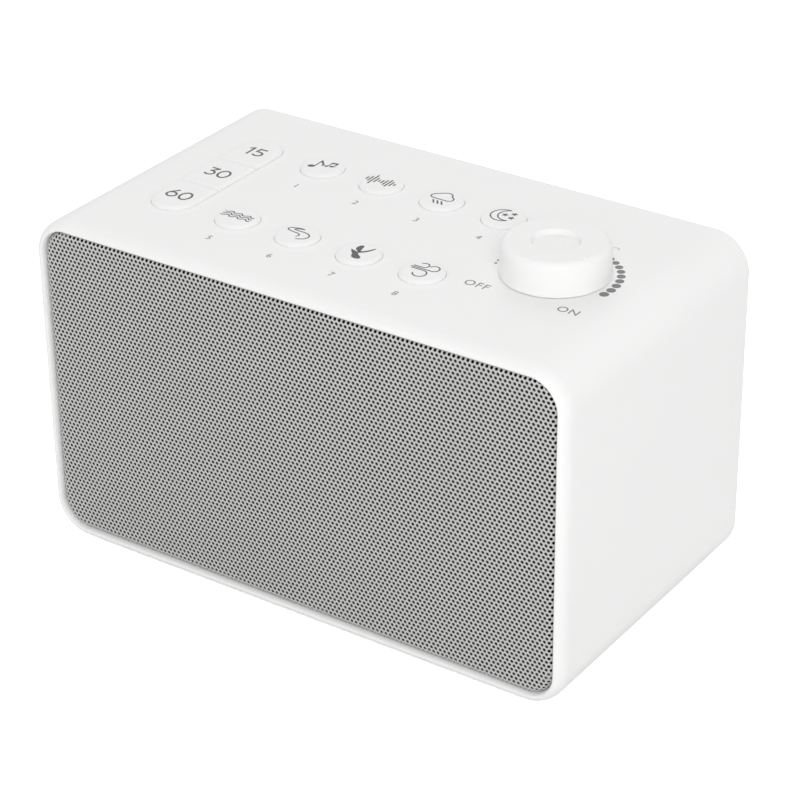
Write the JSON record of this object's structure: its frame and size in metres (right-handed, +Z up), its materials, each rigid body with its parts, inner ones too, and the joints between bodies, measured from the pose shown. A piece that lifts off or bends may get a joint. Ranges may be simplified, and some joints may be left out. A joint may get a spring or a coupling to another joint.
{
  "type": "sound machine",
  "caption": "Tabletop sound machine: white box with a perforated metal grille, round sound buttons, a strip of timer keys and a volume knob on top.",
  "frame": {"origin": "middle of the footprint, on the tabletop under the feet", "axes": "+Z up; the grille faces -Y; +X runs along the width, towards the volume knob"},
  "size_m": [0.16, 0.0896, 0.1041],
  "materials": {
    "shell_white": "satin, fine moulded texture",
    "key_white": "satin",
    "grille_grey": "satin",
    "cloth_black": "matt",
    "black_plastic": "matt",
    "foam_black": "matt",
    "bright_steel": "satin",
    "cone_black": "matt",
    "spider_tan": "matt",
    "coil_copper": "satin",
    "magnet_grey": "matt",
    "brass_tag": "satin",
    "board_green": "gloss",
    "capacitor_blue": "gloss",
    "socket_ivory": "matt",
    "wire_red": "satin",
    "ribbon_grey": "satin",
    "foot_rubber": "matt"
  },
  "bodies": {
    "sound_machine": {"housing": "shell_white", "rear_cover": "shell_white", "cover_screws": "bright_steel", "feet": "foot_rubber", "front_grille": "grille_grey", "grille_cloth": "cloth_black", "baffle": "black_plastic", "baffle_screws": "bright_steel", "driver_gasket": "foam_black", "driver_basket": "bright_steel", "driver_screws": "bright_steel", "driver_terminals": "brass_tag", "cone_surround": "foam_black", "speaker_cone": "cone_black", "dust_cap": "cone_black", "spider": "spider_tan", "voice_coil": "coil_copper", "top_plate": "bright_steel", "magnet_ring": "magnet_grey", "pole_yoke": "bright_steel", "speaker_wires": "wire_red", "pot_case": "bright_steel", "pot_nut": "bright_steel", "control_board": "board_green", "board_screws": "bright_steel", "key_switches": "black_plastic", "sound_chip": "black_plastic", "amplifier_chip": "black_plastic", "capacitors": "capacitor_blue", "board_sockets": "socket_ivory", "ribbon_cable": "ribbon_grey", "jack_board": "board_green", "power_jack": "black_plastic", "power_pin": "brass_tag", "phone_jack": "black_plastic"},
    "knob": {"volume_knob": "key_white", "pot_shaft": "bright_steel", "pot_wiper": "brass_tag"},
    "button_1": {"sound_button_1": "key_white", "sound_plunger_1": "black_plastic"},
    "button_2": {"sound_button_2": "key_white", "sound_plunger_2": "black_plastic"},
    "button_3": {"sound_button_3": "key_white", "sound_plunger_3": "black_plastic"},
    "button_4": {"sound_button_4": "key_white", "sound_plunger_4": "black_plastic"},
    "button_5": {"sound_button_5": "key_white", "sound_plunger_5": "black_plastic"},
    "button_6": {"sound_button_6": "key_white", "sound_plunger_6": "black_plastic"},
    "button_7": {"sound_button_7": "key_white", "sound_plunger_7": "black_plastic"},
    "button_8": {"sound_button_8": "key_white", "sound_plunger_8": "black_plastic"},
    "timer_15": {"timer_key_15": "key_white", "timer_plunger_15": "black_plastic"},
    "timer_30": {"timer_key_30": "key_white", "timer_plunger_30": "black_plastic"},
    "timer_60": {"timer_key_60": "key_white", "timer_plunger_60": "black_plastic"}
  },
  "joints": [
    {"name": "volume_turn", "type": "hinge", "parent": "sound_machine", "child": "knob", "pos_m": [0.0495, 0, 0.0943], "axis": [0, 0, -1], "range_deg": [-255, 25]},
    {"name": "button_1_press", "type": "slide", "parent": "sound_machine", "child": "button_1", "axis": [0, 0, -1], "range_m": [0, 0.0005], "stiffness_N_per_m": 3000, "springref_m": -0.0002},
    {"name": "button_2_press", "type": "slide", "parent": "sound_machine", "child": "button_2", "axis": [0, 0, -1], "range_m": [0, 0.0005], "stiffness_N_per_m": 3000, "springref_m": -0.0002},
    {"name": "button_3_press", "type": "slide", "parent": "sound_machine", "child": "button_3", "axis": [0, 0, -1], "range_m": [0, 0.0005], "stiffness_N_per_m": 3000, "springref_m": -0.0002},
    {"name": "button_4_press", "type": "slide", "parent": "sound_machine", "child": "button_4", "axis": [0, 0, -1], "range_m": [0, 0.0005], "stiffness_N_per_m": 3000, "springref_m": -0.0002},
    {"name": "button_5_press", "type": "slide", "parent": "sound_machine", "child": "button_5", "axis": [0, 0, -1], "range_m": [0, 0.0005], "stiffness_N_per_m": 3000, "springref_m": -0.0002},
    {"name": "button_6_press", "type": "slide", "parent": "sound_machine", "child": "button_6", "axis": [0, 0, -1], "range_m": [0, 0.0005], "stiffness_N_per_m": 3000, "springref_m": -0.0002},
    {"name": "button_7_press", "type": "slide", "parent": "sound_machine", "child": "button_7", "axis": [0, 0, -1], "range_m": [0, 0.0005], "stiffness_N_per_m": 3000, "springref_m": -0.0002},
    {"name": "button_8_press", "type": "slide", "parent": "sound_machine", "child": "button_8", "axis": [0, 0, -1], "range_m": [0, 0.0005], "stiffness_N_per_m": 3000, "springref_m": -0.0002},
    {"name": "timer_15_press", "type": "slide", "parent": "sound_machine", "child": "timer_15", "axis": [0, 0, -1], "range_m": [0, 0.0005], "stiffness_N_per_m": 3000, "springref_m": -0.0002},
    {"name": "timer_30_press", "type": "slide", "parent": "sound_machine", "child": "timer_30", "axis": [0, 0, -1], "range_m": [0, 0.0005], "stiffness_N_per_m": 3000, "springref_m": -0.0002},
    {"name": "timer_60_press", "type": "slide", "parent": "sound_machine", "child": "timer_60", "axis": [0, 0, -1], "range_m": [0, 0.0005], "stiffness_N_per_m": 3000, "springref_m": -0.0002}
  ]
}
